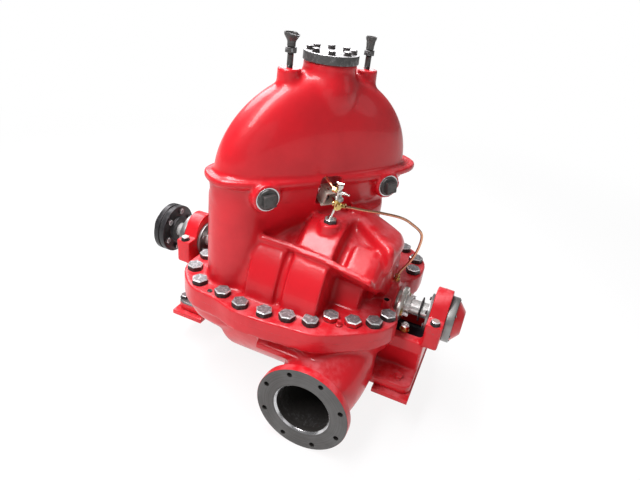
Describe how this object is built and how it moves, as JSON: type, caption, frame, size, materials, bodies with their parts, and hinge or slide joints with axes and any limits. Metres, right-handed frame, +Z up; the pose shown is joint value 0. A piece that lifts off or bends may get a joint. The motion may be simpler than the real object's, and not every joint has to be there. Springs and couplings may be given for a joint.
{
  "type": "two-stage horizontal split case pump",
  "caption": "Horizontal split case pump with a diagonal crossover arch, side nozzles, bearing brackets on sole plates, copper bypass tubes and a shaft that turns.",
  "frame": {"origin": "middle of the underside of the outboard sole plate, straight below the shaft", "axes": "+X along the shaft from the coupling to the outboard bearing, +Z up, -Y the way the suction nozzle faces"},
  "size_m": [1.3726, 0.954, 1.3184],
  "materials": {
    "red_paint": "gloss enamel over cast iron",
    "grey_steel": "machined and dulled",
    "bright_steel": "ground",
    "dark_iron": "bare, oiled",
    "black_iron": "black paint",
    "black_rubber": "matt",
    "brass": "satin",
    "copper": "drawn copper tube"
  },
  "bodies": {
    "casing": {"lower_casing": "red_paint", "upper_casing": "red_paint", "top_cover": "grey_steel", "plug_front_left": "dark_iron", "plug_front_right": "dark_iron", "plug_rear_left": "dark_iron", "plug_rear_right": "dark_iron", "vent_pipe_left": "grey_steel", "vent_pipe_right": "grey_steel", "vent_coupling_left": "grey_steel", "vent_coupling_right": "grey_steel", "vent_cup_left": "grey_steel", "vent_cup_right": "grey_steel", "bearing_cap_outboard": "red_paint", "bearing_cap_inboard": "red_paint", "inner_bearing_cover_outboard": "grey_steel", "inner_bearing_cover_inboard": "grey_steel", "end_cover_outboard": "grey_steel", "end_cap_outboard": "red_paint", "end_cover_inboard": "grey_steel", "gland_outboard": "grey_steel", "gland_inboard": "grey_steel", "sole_plate_outboard": "red_paint", "sole_plate_inboard": "red_paint", "hex_bushing": "grey_steel", "valve_riser": "grey_steel", "valve_manifold": "brass", "tube_fitting_outboard": "brass", "tube_fitting_inboard": "brass", "bypass_tube_outboard": "copper", "bypass_tube_inboard": "copper"},
    "rotor": {"shaft": "bright_steel", "shaft_sleeve_outboard": "bright_steel", "shaft_sleeve_inboard": "bright_steel", "slinger_outboard": "black_rubber", "slinger_inboard": "black_rubber", "coupling_hub": "black_iron"}
  },
  "joints": [
    {"name": "shaft_spin", "type": "hinge", "parent": "casing", "child": "rotor", "pos_m": [-0.452, 0, 0.2733], "axis": [1, 0, 0], "continuous": true}
  ]
}
